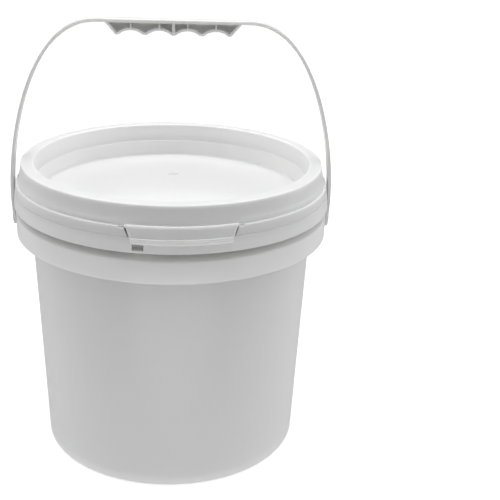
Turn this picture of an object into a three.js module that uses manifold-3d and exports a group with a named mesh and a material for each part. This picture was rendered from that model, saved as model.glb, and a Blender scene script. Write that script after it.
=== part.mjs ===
// A lidded paint pail of about five litres, moulded in white polypropylene: the pail, its tear-strip lid
// and its swing bail. Millimetres, +Z up, the base stands on z = 0, the lid's pull tab faces -Y and the
// bail's pivots lie on the X axis' sides.
import * as THREE from "three";
import { mergeVertices } from "three/addons/utils/BufferGeometryUtils.js";
import Module from "manifold-3d";

const wasm = await Module();
wasm.setup();

// Facets of a full turn, and of one quarter of a small rounded edge.
const turnSegments = 72;
const edgeSegments = 3;
const scallopSegments = 40;
const pinSegments = 24;

// Running clearance between the three mouldings.
const clearance = 0.35;

// Pail wall and base.
const baseRadius = 90.5; // outside of the wall, carried down to the floor
const taper = 0.0427; // growth of the radius for each millimetre of height
const wall = 1.6;
const pailHeight = 204.3;
const floorThickness = 1.9;
const footRecess = 3.0;
const footRingWidth = 3.4;
const footCorner = 3.5;
const floorFillet = 5.0;
const gussetCount = 24;
const gussetLength = 8.0;
const gussetThickness = 1.2;

// Rim bead that the lid snaps over, and the turned-down flange that the tear strip hooks under.
const beadReach = 2.4;
const beadEdge = 1.2; // rounding of the rim's top corners
const beadHeight = 7.4;
const flangeReach = 6.9;
const flangeDrop = 15.9; // rim top to the flange's top edge
const flangeLip = 5.0;
const flangeSlope = 2.0;

// Shoulder and hollow collar.
const shoulderDrop = 28.3; // rim top to the top of the shoulder
const shoulderFall = 4.8;
const collarReach = 9.6;
const collarHeight = 14.5;
const collarRibCount = 12;
const collarRibThickness = 1.2;
const pivotRibAngle = 7.5; // degrees to each side of a pivot

// Lid.
const lidWall = 1.4;
const lidRise = 1.7; // rim top to the lid's top
const skirtFlare = 0.149;
const bandTwoFlare = 0.13;
const bandThreeFlare = 0.085;
const bandOneHeight = 13.4;
const bandTwoHeight = 6.4;
const bandThreeHeight = 9.5;
const bandThreeStep = 0.15;
const snapHook = 1.0;
const plugGap = 1.9; // pail's inner wall to the plug wall
const recessDepth = 24.0;
const recessLedge = 0.5;
const recessDraft = 0.05;
const recessFillet = 1.5;
const panelRise = 12.5; // crown of the recessed panel
const panelSegments = 4;
const gateMarkRadius = 3.4;
const gateMarkDepth = 0.5;

// Pull tab of the tear strip, pressed on a little out of square to the bail.
const tabTurn = 3.2; // degrees
const tabTopWidth = 68.0;
const tabBottomWidth = 60.6;
const tabRaise = 0.5;
const tabBorder = 1.1;
const tabBorderRaise = 0.4;
const tabLipHeight = 3.6;
const tabLipReach = 1.5;
const tabLipRidges = 3;
const slotWidth = 1.2;
const notchWidth = 3.6;
const notchDepth = 1.0;
const windowWidth = 7.0;
const windowHeight = 4.6;

// Bail.
const strapThickness = 2.1;
const strapWidth = 10.0;
const paddleRadius = 6.5;
const bailRise = 136.4; // pivot to the top of the grip
const legHeight = 18.0; // pivot to the foot of the arch's curve
const archTopHandle = 45.0;
const archSideHandle = 40.0;
const archSegments = 18;
const pinRadius = 3.5;
const pinHeadRadius = 4.7;
const pinHeadLength = 2.0;
const pinNose = 1.2;

// Finger grip.
const fingerPitch = 18.6;
const fingerCount = 4;
const scallopDepth = 3.0;
const gripDepth = 9.9;
const gripWidth = 12.0;
const gripEndReach = 8.5; // how far the slanted ends run out at the top
const gripTip = 1.2; // flat width of the tips between the fingers
const gripSkin = 1.5;
const gripWeb = 1.6;
const gripRib = 1.0;
const gripMiddleRib = 2.0;
const strapRun = 4.1; // straight strap beyond each end of the grip

const X = new THREE.Vector3(1, 0, 0);
const Z = new THREE.Vector3(0, 0, 1);
const radians = THREE.MathUtils.degToRad;

// Joining and cutting.

function solid(geometry) {
  const loose = geometry.index ? geometry.toNonIndexed() : geometry;
  const bare = new THREE.BufferGeometry();
  bare.setAttribute("position", loose.getAttribute("position"));
  const merged = mergeVertices(bare, 1e-4);
  return new wasm.Manifold(
    new wasm.Mesh({
      numProp: 3,
      vertProperties: merged.getAttribute("position").array,
      triVerts: new Uint32Array(merged.index.array),
    }),
  );
}

function geometryOf(manifold) {
  const mesh = manifold.getMesh();
  const geometry = new THREE.BufferGeometry();
  geometry.setAttribute("position", new THREE.BufferAttribute(mesh.vertProperties, 3));
  geometry.setIndex(new THREE.BufferAttribute(mesh.triVerts, 1));
  const facets = geometry.toNonIndexed();
  facets.computeVertexNormals();
  return facets;
}

function joined(solids) {
  return solids.reduce((sum, next) => sum.add(next));
}

// A closed profile of [radius, height] points turned about Z.
function revolve(profile) {
  const points = profile.map(([r, z]) => new THREE.Vector2(r, z));
  return solid(new THREE.LatheGeometry(points, turnSegments).rotateX(Math.PI / 2));
}

function closed(profile) {
  return [...profile, profile[0]];
}

// An outline drawn with `across` and `up` as its axes, pushed out evenly to both sides of its plane.
function prism(outline, depth, across, up) {
  const through = new THREE.Vector3().crossVectors(across, up);
  const frame = new THREE.Matrix4().makeBasis(across, up, through);
  const options = { depth, bevelEnabled: false, curveSegments: pinSegments };
  return solid(
    new THREE.ExtrudeGeometry(outline, options).translate(0, 0, -depth / 2).applyMatrix4(frame),
  );
}

function polygon(points) {
  return new THREE.Shape(points.map(([u, v]) => new THREE.Vector2(u, v)));
}

// Points of a rounded corner, from one angle to another in degrees.
function corner(r, z, radius, from, to) {
  const points = [];
  for (let i = 0; i <= edgeSegments; i++) {
    const angle = radians(from + ((to - from) * i) / edgeSegments);
    points.push([r + radius * Math.cos(angle), z + radius * Math.sin(angle)]);
  }
  return points;
}

// Sizes that follow from the ones above.

const outside = (z) => baseRadius + taper * z;
const inside = (z) => outside(z) - wall;

const beadBottom = pailHeight - beadHeight;
const beadRadius = outside(pailHeight) + beadReach;
const flangeTop = pailHeight - flangeDrop;
const flangeBottom = flangeTop - flangeLip;
const flangeRadius = outside(flangeTop) + flangeReach;
const shoulderTop = pailHeight - shoulderDrop;
const collarTop = shoulderTop - shoulderFall;
const collarBottom = collarTop - collarHeight;
const collarRadius = outside(collarTop) + collarReach;
const collarInside = collarRadius - wall;
const pivotHeight = (collarTop + collarBottom) / 2;

const lidTop = pailHeight + lidRise;
const bandOneBottom = lidTop - bandOneHeight;
const bandTwoBottom = bandOneBottom - bandTwoHeight;
const skirtBottom = bandTwoBottom - bandThreeHeight;
const bandOne = (z) => beadRadius + clearance + lidWall + skirtFlare * (pailHeight - beadEdge - z);
const bandTwo = (z) => flangeRadius + clearance + lidWall + bandTwoFlare * (flangeTop - z);
const bandThree = (z) => bandTwo(bandTwoBottom) + bandThreeStep + bandThreeFlare * (bandTwoBottom - z);
const skirtRadius = bandThree(skirtBottom);

// Pail.

function pailShell() {
  const ringOuter = outside(footCorner) - footCorner;
  const ringInner = ringOuter - footRingWidth;
  const floorTop = footRecess + floorThickness;
  const flangeRoot = flangeTop + flangeSlope;
  const under = flangeLip - wall;
  return revolve([
    [0, footRecess],
    [ringInner - footRecess / 2, footRecess],
    [ringInner, 0],
    ...corner(ringOuter, footCorner, footCorner, -90, 0),
    [outside(collarBottom), collarBottom],
    [outside(shoulderTop - wall), shoulderTop - wall],
    [collarInside, collarTop - wall],
    [collarInside, collarBottom],
    [collarRadius, collarBottom],
    [collarRadius, collarTop - wall / 2],
    [collarRadius - wall / 2, collarTop],
    [outside(shoulderTop) + wall / 2, shoulderTop - wall / 4],
    [outside(shoulderTop + wall / 2), shoulderTop + wall / 2],
    [outside(flangeTop - wall / 2), flangeTop - wall / 2],
    [flangeRadius - wall, flangeBottom + under - flangeSlope / 4],
    [flangeRadius - wall, flangeBottom],
    [flangeRadius, flangeBottom],
    [flangeRadius, flangeTop - wall / 2],
    [flangeRadius - wall / 2, flangeTop],
    [outside(flangeRoot), flangeRoot],
    [outside(beadBottom - beadReach / 2), beadBottom - beadReach / 2],
    [beadRadius, beadBottom],
    ...corner(beadRadius - beadEdge, pailHeight - beadEdge, beadEdge, 0, 90),
    ...corner(inside(pailHeight) + beadEdge, pailHeight - beadEdge, beadEdge, 90, 180),
    ...corner(inside(floorTop + floorFillet) - floorFillet, floorTop + floorFillet, floorFillet, 0, -90),
    [0, floorTop],
  ]);
}

// A plate drawn in [radius, height], standing on a radius of the pail at the given angle.
function radialPlate(points, thickness, degrees) {
  const across = new THREE.Vector3(Math.cos(radians(degrees)), Math.sin(radians(degrees)), 0);
  return prism(polygon(points), thickness, across, Z);
}

function footGussets() {
  const root = outside(footCorner) - footCorner - footRingWidth;
  const outline = [
    [root - gussetLength, footRecess + wall / 4],
    [root - gussetLength, footRecess - wall / 4],
    [root - wall, wall / 4],
    [root + wall / 2, wall / 4],
    [root + wall / 2, footRecess + wall / 4],
  ];
  return Array.from({ length: gussetCount }, (_, i) =>
    radialPlate(outline, gussetThickness, ((i + 0.5) * 360) / gussetCount),
  );
}

function collarRibs() {
  const sunk = wall / 2;
  const outline = [
    [outside(collarBottom) - sunk, collarBottom + wall],
    [collarInside + sunk, collarBottom + wall],
    [collarInside + sunk, collarTop - sunk],
    [outside(shoulderTop) - sunk, shoulderTop - sunk],
  ];
  const spaced = Array.from(
    { length: collarRibCount },
    (_, i) => ((i + 0.5) * 360) / collarRibCount,
  );
  const besidePivots = [0, 180].flatMap((side) => [side - pivotRibAngle, side + pivotRibAngle]);
  return [...spaced, ...besidePivots].map((angle) =>
    radialPlate(outline, collarRibThickness, angle),
  );
}

// One bore right across the pail would cut the wall too, so each side of the collar has its own.
function pivotHoles() {
  const length = collarRadius - collarInside + 2 * wall;
  const middle = (collarRadius + collarInside) / 2;
  return [-1, 1].map((side) =>
    solid(
      new THREE.CylinderGeometry(pinRadius + clearance, pinRadius + clearance, length, pinSegments)
        .rotateZ(Math.PI / 2)
        .translate(side * middle, 0, pivotHeight),
    ),
  );
}

function pailBody() {
  const moulding = joined([pailShell(), ...footGussets(), ...collarRibs()]);
  return moulding.subtract(joined(pivotHoles()));
}

// Lid.

const plugRadius = inside(pailHeight) - plugGap;
const recessRadius = plugRadius - lidWall;

// The recessed panel's crown, from the middle out to where it meets the recess wall.
function crown(radius, height) {
  return Array.from({ length: panelSegments + 1 }, (_, i) => {
    const share = i / panelSegments;
    return [share * radius, height + panelRise * (1 - share ** 2)];
  });
}

function lidShell() {
  const panelTop = lidTop - recessDepth;
  const panelBottom = panelTop - lidWall;
  const recess = (z) => recessRadius - recessDraft * (lidTop - z);
  const ledge = bandOneBottom + 1;
  const lower = (z) => recess(z) - recessLedge;
  const plug = (z) => recess(z) + lidWall;
  const sealHeight = beadBottom + beadHeight / 2;
  const sealRadius = inside(sealHeight) - clearance;
  const roof = pailHeight + clearance;
  const snapTop = beadBottom - clearance;
  const hookTop = flangeBottom - clearance;
  const edge = lidWall / 2;
  return revolve([
    ...crown(plug(panelBottom) - recessFillet, panelBottom),
    [plug(panelBottom), panelBottom + recessFillet],
    [plug(sealHeight - 3), sealHeight - 3],
    [sealRadius, sealHeight - 1],
    [sealRadius, sealHeight + 1],
    [plug(sealHeight + 3), sealHeight + 3],
    [plug(roof), roof],
    [bandOne(roof) - lidWall - edge, roof],
    [bandOne(roof - edge) - lidWall, roof - edge],
    [bandOne(snapTop) - lidWall, snapTop + snapHook / 2],
    [beadRadius - snapHook, snapTop - snapHook / 2],
    [beadRadius - snapHook, snapTop - 2 * snapHook],
    [bandOne(bandOneBottom) - lidWall, bandOneBottom],
    [bandTwo(bandOneBottom - lidWall) - lidWall, bandOneBottom - lidWall],
    [bandTwo(hookTop) - lidWall, hookTop],
    [flangeRadius - snapHook, hookTop - snapHook / 2],
    [flangeRadius - snapHook, hookTop - 2 * snapHook],
    [bandThree(hookTop - 4 * snapHook) - lidWall, hookTop - 4 * snapHook],
    [bandThree(skirtBottom) - lidWall, skirtBottom],
    [bandThree(skirtBottom), skirtBottom],
    [bandThree(bandTwoBottom), bandTwoBottom],
    [bandTwo(bandTwoBottom), bandTwoBottom + bandThreeStep],
    [bandTwo(bandOneBottom), bandOneBottom - edge],
    [bandTwo(bandOneBottom) - edge, bandOneBottom],
    [bandOne(bandOneBottom), bandOneBottom],
    [bandOne(lidTop - edge), lidTop - edge],
    [bandOne(lidTop) - edge, lidTop],
    [recess(lidTop) + edge, lidTop],
    [recess(lidTop - edge), lidTop - edge],
    [recess(ledge), ledge],
    [lower(ledge - recessLedge), ledge - recessLedge],
    [lower(panelTop + recessFillet), panelTop + recessFillet],
    [lower(panelTop) - recessFillet / 2, panelTop + recessFillet / 3],
    ...crown(lower(panelTop) - 2 * recessFillet, panelTop).reverse(),
  ]);
}

function gateMark() {
  const height = 2 * gateMarkDepth;
  return solid(
    new THREE.CylinderGeometry(gateMarkRadius, gateMarkRadius / 2, height, 16)
      .rotateX(Math.PI / 2)
      .translate(0, 0, lidTop - recessDepth + panelRise),
  );
}

// The tab's trapezoid and what lies beside it are drawn on its chord plane and pushed through the skirt.
const tabAcross = new THREE.Vector3(Math.cos(radians(tabTurn)), Math.sin(radians(tabTurn)), 0);
const tabBottom = bandTwoBottom - tabLipHeight;
const tabSlope = (tabTopWidth - tabBottomWidth) / 2 / (bandOneBottom - tabBottom);
const tabHalf = (z) => tabTopWidth / 2 - tabSlope * (bandOneBottom - z);

function throughSkirt(points) {
  const reach = skirtRadius / 2;
  const outwards = new THREE.Vector3().crossVectors(tabAcross, Z);
  const shift = outwards.multiplyScalar(skirtRadius);
  return prism(polygon(points), 2 * reach, tabAcross, Z).translate([shift.x, shift.y, 0]);
}

// What a cut may take: the skirt, and nothing of the plug wall or the panel behind it.
function skirtZone() {
  const root = beadRadius - 2 * snapHook;
  const reach = skirtRadius + 2 * tabLipReach;
  return revolve(
    closed([
      [root, skirtBottom],
      [reach, skirtBottom],
      [reach, lidTop - lidWall],
      [root, lidTop - lidWall],
    ]),
  );
}

function trapezoid(inset, top, bottom) {
  return [
    [-tabHalf(bottom) + inset, bottom],
    [tabHalf(bottom) - inset, bottom],
    [tabHalf(top) - inset, top],
    [-tabHalf(top) + inset, top],
  ];
}

function tabPlate(raise) {
  const sunk = lidWall / 2;
  return revolve(
    closed([
      [bandTwo(bandTwoBottom) - sunk, bandTwoBottom - sunk],
      [bandTwo(bandTwoBottom) + raise, bandTwoBottom - sunk],
      [bandTwo(bandOneBottom) + raise, bandOneBottom],
      [bandTwo(bandOneBottom) - sunk, bandOneBottom],
    ]),
  );
}

// The lip that a fingernail catches stands out below the plate, with ridges along it.
function tabLip() {
  const sunk = lidWall / 2;
  const ridge = tabLipHeight / tabLipRidges;
  const profile = [[bandThree(tabBottom) - sunk, tabBottom]];
  for (let i = 0; i < tabLipRidges; i++) {
    const z = tabBottom + i * ridge;
    const reach = tabLipReach * (1 - (0.35 * i) / tabLipRidges);
    profile.push([bandThree(z) + reach, z]);
    profile.push([bandThree(z) + reach, z + ridge / 2]);
    profile.push([bandThree(z) + reach / 2, z + (3 * ridge) / 4]);
  }
  profile.push([bandThree(bandTwoBottom) + tabRaise, bandTwoBottom]);
  profile.push([bandThree(bandTwoBottom) - sunk, bandTwoBottom]);
  return revolve(closed(profile));
}

function pullTab() {
  const whole = throughSkirt(trapezoid(0, bandOneBottom, tabBottom));
  const middle = throughSkirt(trapezoid(tabBorder, bandOneBottom - tabBorder, bandTwoBottom));
  const face = tabPlate(tabRaise).intersect(whole);
  const border = tabPlate(tabRaise + tabBorderRaise).intersect(whole).subtract(middle);
  const lip = tabLip().intersect(whole);
  return joined([face, border, lip]);
}

// A slot runs down each side of the tab, and the strip's top edge is notched beside it.
function tabSlots() {
  const top = bandOneBottom - lidWall / 2;
  const foot = bandTwoBottom;
  return [-1, 1].map((side) => {
    const slot = [
      [side * tabHalf(foot), foot],
      [side * (tabHalf(foot) + slotWidth), foot],
      [side * (tabHalf(top) + slotWidth), top],
      [side * tabHalf(top), top],
    ];
    return throughSkirt(side > 0 ? slot : slot.reverse());
  });
}

function tabNotches() {
  const root = bandTwo(bandOneBottom) - notchDepth;
  const ring = revolve(
    closed([
      [root, bandOneBottom - notchDepth],
      [skirtRadius, bandOneBottom - notchDepth],
      [skirtRadius, bandOneBottom + notchDepth],
      [root, bandOneBottom + notchDepth],
    ]),
  );
  return [-1, 1].map((side) => {
    const near = tabHalf(bandOneBottom) + slotWidth / 2;
    const low = bandOneBottom - 2 * notchDepth;
    const high = bandOneBottom + 2 * notchDepth;
    const block = [
      [side * near, low],
      [side * (near + notchWidth), low],
      [side * (near + notchWidth), high],
      [side * near, high],
    ];
    return ring.intersect(throughSkirt(side > 0 ? block : block.reverse()));
  });
}

function tearWindow() {
  const left = -tabHalf(tabBottom);
  const bottom = tabBottom - windowHeight;
  return throughSkirt([
    [left, bottom],
    [left + windowWidth, bottom],
    [left + windowWidth, tabBottom],
    [left, tabBottom],
  ]);
}

function lid() {
  const openings = joined([...tabSlots(), tearWindow()]).intersect(skirtZone());
  const marks = joined([gateMark(), ...tabNotches()]);
  return lidShell().subtract(openings).subtract(marks).add(pullTab());
}

// Bail.

const bailTop = pivotHeight + bailRise;
const strapInside = skirtRadius + clearance;
const strapOutside = strapInside + strapThickness;
const footOutside = collarRadius + clearance + strapThickness;
const gripTipEnd = (fingerCount / 2) * fingerPitch + gripTip / 2;
const gripTopEnd = gripTipEnd + gripEndReach;
const gripFoot = bailTop - gripDepth;

// The strap's outer line on the +X side, from the paddle's foot up to the middle of the grip.
function strapLine() {
  const line = new THREE.CurvePath();
  const foot = new THREE.Vector2(footOutside, pivotHeight - paddleRadius);
  const hip = new THREE.Vector2(strapOutside, skirtBottom);
  const spring = new THREE.Vector2(strapOutside, pivotHeight + legHeight);
  const shoulder = new THREE.Vector2(gripTopEnd + strapRun, bailTop);
  const middle = new THREE.Vector2(0, bailTop);
  const sideHandle = new THREE.Vector2(spring.x, spring.y + archSideHandle);
  const topHandle = new THREE.Vector2(shoulder.x + archTopHandle, bailTop);
  line.add(new THREE.LineCurve(foot, hip));
  line.add(new THREE.LineCurve(hip, spring));
  line.add(new THREE.CubicBezierCurve(spring, sideHandle, topHandle, shoulder));
  line.add(new THREE.LineCurve(shoulder, middle));
  return line;
}

function strapRibbon() {
  const outer = [];
  const inner = [];
  strapLine().curves.forEach((curve, index) => {
    const steps = curve instanceof THREE.CubicBezierCurve ? archSegments : 1;
    for (let i = index ? 1 : 0; i <= steps; i++) {
      const point = curve.getPoint(i / steps);
      const along = curve.getTangent(i / steps);
      outer.push([point.x, point.y]);
      inner.push([point.x - strapThickness * along.y, point.y + strapThickness * along.x]);
    }
  });
  const mirrored = (points) => points.slice(0, -1).map(([x, z]) => [-x, z]);
  const outline = [
    ...outer,
    ...mirrored(outer).reverse(),
    ...mirrored(inner),
    ...inner.reverse(),
  ];
  return prism(polygon(outline), 2 * paddleRadius, X, Z);
}

// The strap seen from the side: a round paddle about the pivot, then straight up.
function strapSide() {
  const half = strapWidth / 2;
  const rise = Math.sqrt(paddleRadius ** 2 - half ** 2);
  const start = Math.atan2(rise, half);
  const outline = new THREE.Shape();
  outline.moveTo(half, bailTop + strapThickness);
  outline.lineTo(-half, bailTop + strapThickness);
  outline.absarc(0, pivotHeight, paddleRadius, Math.PI - start, 2 * Math.PI + start, false);
  outline.closePath();
  return prism(outline, 3 * strapOutside, new THREE.Vector3(0, 1, 0), Z);
}

// A pin turns in each side of the collar and is kept there by its snap head.
function pivotPins() {
  const flat = Math.cos(Math.PI / turnSegments);
  const headFace = Math.sqrt(collarInside ** 2 - pinHeadRadius ** 2) * flat - clearance;
  const shoulderEnd = headFace - pinHeadLength;
  const root = (footOutside + strapOutside) / 2 - strapThickness / 2;
  const profile = [
    [0, shoulderEnd - pinNose],
    [pinHeadRadius - pinNose, shoulderEnd - pinNose],
    [pinHeadRadius, shoulderEnd],
    [pinHeadRadius, headFace],
    [pinRadius, headFace],
    [pinRadius, root],
    [0, root],
  ].map(([r, x]) => new THREE.Vector2(r, x));
  return [-1, 1].map((side) =>
    solid(
      new THREE.LatheGeometry(profile, pinSegments)
        .rotateZ((-side * Math.PI) / 2)
        .translate(0, 0, pivotHeight),
    ),
  );
}

// The scallops are cut by cylinders, and the pockets keep a skin above the same cylinders.
function fingerCylinders(skin) {
  const chord = fingerPitch - gripTip;
  const radius = (chord ** 2 / 4 + scallopDepth ** 2) / (2 * scallopDepth);
  const axisHeight = gripFoot + scallopDepth - radius;
  const cylinder = () =>
    new THREE.CylinderGeometry(radius + skin, radius + skin, 2 * gripWidth, scallopSegments);
  return Array.from({ length: fingerCount }, (_, i) =>
    solid(cylinder().translate((i - (fingerCount - 1) / 2) * fingerPitch, 0, axisHeight)),
  );
}

function gripBlock(width, skin, topSkin) {
  const slope = gripEndReach / gripDepth;
  const edge = (z) => gripTipEnd + slope * (z - gripFoot) - skin * Math.hypot(1, slope);
  const low = gripFoot + skin;
  const high = bailTop - topSkin;
  const outline = polygon([
    [-edge(low), low],
    [edge(low), low],
    [edge(high), high],
    [-edge(high), high],
  ]);
  return prism(outline, width, X, Z);
}

// Cross ribs over the crown of each scallop, and a wider one in the middle.
function gripRibs() {
  const places = Array.from({ length: fingerCount }, (_, i) => (i - (fingerCount - 1) / 2) * fingerPitch);
  const rib = (x, thickness) =>
    solid(
      new THREE.BoxGeometry(thickness, 2 * gripWidth, gripDepth)
        .translate(x, 0, (bailTop + gripFoot) / 2),
    );
  return [...places.map((x) => rib(x, gripRib)), rib(0, gripMiddleRib)];
}

function fingerGrip() {
  const depth = gripWidth / 2;
  const hollow = gripBlock(depth, gripSkin, strapThickness)
    .subtract(joined(fingerCylinders(gripSkin)))
    .subtract(joined(gripRibs()));
  const offset = (gripWeb + depth) / 2;
  const pockets = [-1, 1].map((side) => hollow.translate([0, side * offset, 0]));
  return gripBlock(gripWidth, 0, 0)
    .subtract(joined(fingerCylinders(0)))
    .subtract(joined(pockets));
}

function bailHandle() {
  const strap = strapRibbon().intersect(strapSide());
  return joined([strap, fingerGrip(), ...pivotPins()]);
}

// Finish.

const white = { roughness: 0.35, metalness: 0 };
const materials = {
  pail: new THREE.MeshStandardMaterial({ name: "pail", color: "#e6e6e4", ...white }),
  lid: new THREE.MeshStandardMaterial({ name: "lid", color: "#ececea", ...white }),
  bail: new THREE.MeshStandardMaterial({ name: "bail", color: "#dededc", ...white }),
};

function named(name, manifold, material) {
  const mesh = new THREE.Mesh(geometryOf(manifold), material);
  mesh.name = name;
  return mesh;
}

const pail = new THREE.Group();
pail.add(named("pail_body", pailBody(), materials.pail));
pail.add(named("lid", lid(), materials.lid));
pail.add(named("bail_handle", bailHandle(), materials.bail));

export default pail;
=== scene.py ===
"""A lidded paint pail of about five litres in white polypropylene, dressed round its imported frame."""

import math

import bpy
from mathutils import Matrix, Vector


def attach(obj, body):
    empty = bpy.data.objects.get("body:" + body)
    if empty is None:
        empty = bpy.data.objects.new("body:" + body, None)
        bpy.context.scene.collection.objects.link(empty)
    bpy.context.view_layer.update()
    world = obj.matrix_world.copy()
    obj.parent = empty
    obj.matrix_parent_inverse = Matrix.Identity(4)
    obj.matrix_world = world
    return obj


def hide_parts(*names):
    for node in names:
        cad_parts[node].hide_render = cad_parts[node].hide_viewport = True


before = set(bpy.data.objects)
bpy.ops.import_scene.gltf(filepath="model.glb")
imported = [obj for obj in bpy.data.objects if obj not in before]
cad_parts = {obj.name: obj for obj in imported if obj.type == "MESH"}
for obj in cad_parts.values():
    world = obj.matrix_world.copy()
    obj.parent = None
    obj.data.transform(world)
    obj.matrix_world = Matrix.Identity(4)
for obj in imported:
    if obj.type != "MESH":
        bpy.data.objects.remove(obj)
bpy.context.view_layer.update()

MM = 0.001

# Fineness of the shapes. The tab's sector is counted in the steps of a full turn, and it goes
# clockwise seen from above, as a spin does.
TURN_STEPS = 288
TAB_SECTOR_START = -48
TAB_SECTOR_STEPS = 42
FILLET_STEPS = 4
PANEL_STEPS = 16
ARCH_STEPS = 48
PADDLE_STEPS = 40
FINGER_STEPS = 96
SMALL_TURN_STEPS = 48
EDGE_STEPS = 2
TIP_STEPS = 4

# The sharpest angle that is shaded smooth, the bluntest that is rounded (in radians), the most of a
# profile's side that one fillet takes, and how straight across the grip a tip's edge runs.
SMOOTH_DEGREES = 32
BEVEL_LIMIT = 0.9
FILLET_SHARE = 0.48
CROSSWISE_SHARE = 0.9

# All sizes are in millimetres, as the moulds have them; a taper, flare or draft is a slope.
CLEARANCE = 0.35
CUT_MARGIN = 1.0

# Pail: base and wall.
BASE_RADIUS = 90.5
TAPER = 0.0427
WALL = 1.6
PAIL_HEIGHT = 204.3
FLOOR_THICKNESS = 1.9
FOOT_RECESS = 3.0
FOOT_RING_WIDTH = 3.4
FOOT_CORNER = 3.5
FLOOR_FILLET = 5.0
GUSSET_COUNT = 24
GUSSET_LENGTH = 8.0
GUSSET_THICKNESS = 1.2

# Pail: rim bead, and the flange that the lid snaps under.
BEAD_REACH = 2.4
BEAD_EDGE = 1.2
BEAD_HEIGHT = 7.4
FLANGE_REACH = 6.9
FLANGE_DROP = 15.9
FLANGE_LIP = 5.0
FLANGE_SLOPE = 2.0

# Pail: shoulder and collar.
SHOULDER_DROP = 28.3
SHOULDER_FALL = 4.8
COLLAR_REACH = 9.6
COLLAR_HEIGHT = 14.5
COLLAR_RIB_COUNT = 12
COLLAR_RIB_THICKNESS = 1.2
PIVOT_RIB_ANGLE = 7.5

# Lid: skirt in three bands, plug wall, recessed panel.
LID_WALL = 1.4
LID_RISE = 1.7
SKIRT_FLARE = 0.149
BAND_TWO_FLARE = 0.13
BAND_THREE_FLARE = 0.085
BAND_ONE_HEIGHT = 13.4
BAND_TWO_HEIGHT = 6.4
BAND_THREE_HEIGHT = 9.5
BAND_THREE_STEP = 0.15
SNAP_HOOK = 1.0
PLUG_GAP = 1.9
RECESS_DEPTH = 24.0
RECESS_LEDGE = 0.5
RECESS_DRAFT = 0.05
RECESS_FILLET = 1.5
RECESS_LEDGE_RISE = 1.0
SEAL_REACH = 3.0
SEAL_FLAT = 1.0
PANEL_RISE = 12.5
GATE_MARK_RADIUS = 3.4
GATE_MARK_DEPTH = 0.9
GATE_MARK_FLOOR = 0.9
GATE_MARK_MOUTH = 1.05
BREAK_LINE = 0.4

# Pull tab: its turn in degrees, its face and border, its ridged lip, and the cuts round it.
TAB_TURN = 3.2
TAB_TOP_WIDTH = 68.0
TAB_BOTTOM_WIDTH = 60.6
TAB_RAISE = 0.5
TAB_BORDER = 1.1
TAB_HEAD = 1.3
TAB_BORDER_RAISE = 0.4
TAB_LIP_HEIGHT = 3.6
TAB_LIP_REACH = 1.5
TAB_LIP_RIDGES = 3
TAB_LIP_TAPER = 0.35
RIDGE_FLAT = 0.7
GROOVE_PLACE = 0.85
GROOVE_FLOOR = 0.7
SLOT_WIDTH = 1.2
NOTCH_WIDTH = 3.6
NOTCH_DEPTH = 1.0
WINDOW_WIDTH = 7.0
WINDOW_HEIGHT = 4.6

# Bail: strap, paddles and pins.
STRAP_THICKNESS = 2.1
STRAP_WIDTH = 10.0
STRAP_EDGE = 0.35
PADDLE_RADIUS = 6.5
BAIL_RISE = 136.4
LEG_HEIGHT = 18.0
ARCH_TOP_HANDLE = 45.0
ARCH_SIDE_HANDLE = 40.0
PIN_RADIUS = 3.5
PIN_HEAD_RADIUS = 4.7
PIN_HEAD_LENGTH = 2.0
PIN_NOSE = 1.2

# Finger grip.
FINGER_PITCH = 18.6
FINGER_COUNT = 4
SCALLOP_DEPTH = 3.0
GRIP_DEPTH = 9.9
GRIP_WIDTH = 12.0
GRIP_END_REACH = 8.5
GRIP_TIP = 1.2
GRIP_TIP_FLAT = 2.6
GRIP_TIP_ROUND = 1.2
GRIP_SKIN = 1.5
GRIP_WEB = 1.6
GRIP_RIB = 1.0
GRIP_MIDDLE_RIB = 2.0
STRAP_RUN = 4.1
TIP_TOLERANCE = 0.2

# Polypropylene: how it bends and scatters light, in metres, and the size of what the mould leaves on it:
# clouds of flow, patches of sheen, spark-eroded grain (drawn larger so that it shows), shrinkage waves.
PLASTIC_IOR = 1.49
SCATTER_DISTANCE = 0.005
FLOW_SIZE = 0.070
PATCH_SIZE = 0.018
GRAIN_SIZE = 0.0005
WAVE_SIZE = 0.030

# Studio paper, in metres, and its glow.
PAPER_SIZE = 14.0
FIBRE_SIZE = 0.4
PAPER_GLOW = 0.38

# Strength of the white room's light from each direction.
ROOM_BACK = 0.33
ROOM_ABOVE = 0.69
ROOM_BELOW = 0.34
ROOM_SIDES = 0.59

# Lamps: name, place and target in metres, width and height in metres, power in watts.
LAMPS = (
    ("overhead", (0, 0, 1.5), (0, 0, 0.19), 1.0, 0.8, 9.4),
    ("overhead_back", (0, 0.9, 1.3), (0, 0, 0.19), 1.6, 0.8, 3.5),
    ("right_fill", (1.4, 0.1, 0.5), (0, 0, 0.15), 0.8, 1.0, 1.3),
    ("left_fill", (-1.4, 0.1, 0.5), (0, 0, 0.15), 0.8, 1.0, 0.25),
    ("foot_glow", (0, -0.5, -0.15), (0, -0.08, 0.03), 0.6, 0.15, 0.8),
)

# The photograph's view: distance in front of the pail's axis and height in millimetres, turns in degrees.
CAMERA_DISTANCE = 667.1
CAMERA_HEIGHT = 397.4
CAMERA_PITCH = 21.183
CAMERA_YAW = 4.773
CAMERA_ROLL = 2.027
FOCAL_PIXELS = 997.0
FRAME_PIXELS = 500
SENSOR = 36.0


def outside(z):
    return BASE_RADIUS + TAPER * z


def inside(z):
    return outside(z) - WALL


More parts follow.
